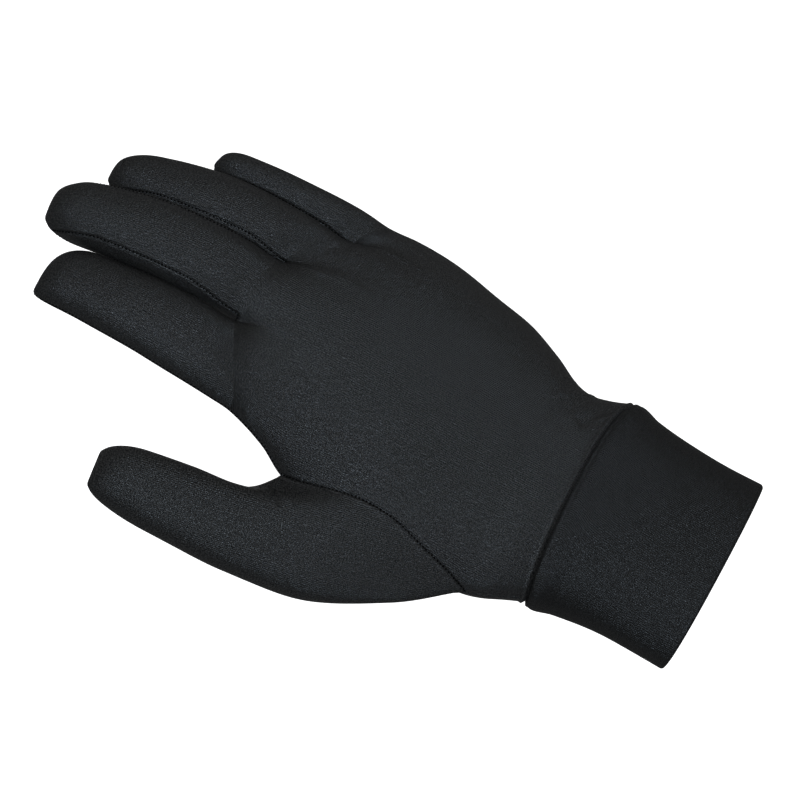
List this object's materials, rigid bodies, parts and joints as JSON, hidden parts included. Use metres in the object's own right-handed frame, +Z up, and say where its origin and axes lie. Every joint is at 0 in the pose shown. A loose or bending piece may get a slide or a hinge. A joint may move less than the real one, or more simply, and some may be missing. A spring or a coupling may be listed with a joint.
{
  "type": "glove liner",
  "caption": "Thin stretch-knit glove liner for the right hand, open and full as worn, with finger side strips, a set-in thumb and a folded cuff.",
  "frame": {"origin": "centre of the cuff's open end, where the hand goes in", "axes": "+X out of the cuff's opening, away from the fingers, along the glove's length; +Y towards the little finger; +Z up, towards the back of the hand"},
  "size_m": [0.2511, 0.1362, 0.0425],
  "materials": {
    "knit": "matte fine jersey knit with a faint cool sheen",
    "cuff_knit": "matte fine knit, doubled and folded at the hem"
  },
  "bodies": {
    "root": {"back_panel": "knit", "palm_panel": "knit", "index_middle_strip": "knit", "middle_ring_strip": "knit", "ring_little_strip": "knit", "thumb": "knit", "cuff": "cuff_knit"}
  },
  "joints": []
}
